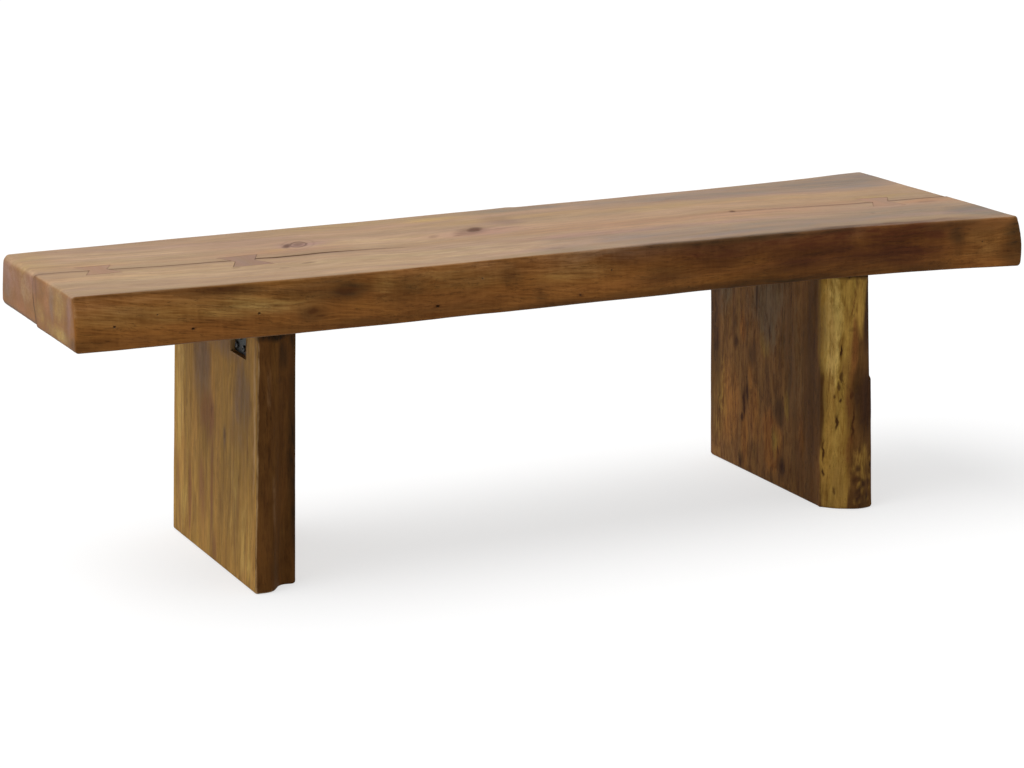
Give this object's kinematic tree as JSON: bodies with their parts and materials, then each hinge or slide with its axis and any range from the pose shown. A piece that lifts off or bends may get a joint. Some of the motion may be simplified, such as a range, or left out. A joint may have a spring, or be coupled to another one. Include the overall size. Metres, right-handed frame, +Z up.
{
  "type": "rustic log bench",
  "caption": "Rustic backless bench: one thick live-edge plank seat with bow-tie keys across its drying splits, standing on two upright live-edge plank legs fixed with angle brackets.",
  "frame": {"origin": "on the floor under the middle of the bench's overall box", "axes": "+X along the seat towards its flared end, +Y towards the back, +Z up through the sitting face"},
  "size_m": [1.5239, 0.482, 0.457],
  "materials": {
    "seat_wood": "oiled and waxed hardwood, sanded",
    "key_wood": "oiled and waxed hardwood, sanded",
    "leg_wood": "oiled and waxed hardwood, sanded",
    "dowel_wood": "raw hardwood",
    "bracket_steel": "dark mill-scale steel",
    "screw_steel": "blackened steel"
  },
  "bodies": {
    "root": {"seat_plank": "seat_wood", "end_butterfly_key": "key_wood", "inner_butterfly_key": "key_wood", "right_butterfly_key": "key_wood", "left_leg": "leg_wood", "right_leg": "leg_wood", "left_front_bracket": "bracket_steel", "left_back_bracket": "bracket_steel", "right_front_bracket": "bracket_steel", "right_back_bracket": "bracket_steel", "left_front_leg_screws": "screw_steel", "left_front_seat_screws": "screw_steel", "left_back_leg_screws": "screw_steel", "left_back_seat_screws": "screw_steel", "right_front_leg_screws": "screw_steel", "right_front_seat_screws": "screw_steel", "right_back_leg_screws": "screw_steel", "right_back_seat_screws": "screw_steel", "left_front_dowel": "dowel_wood", "left_back_dowel": "dowel_wood", "right_front_dowel": "dowel_wood", "right_back_dowel": "dowel_wood"}
  },
  "joints": []
}
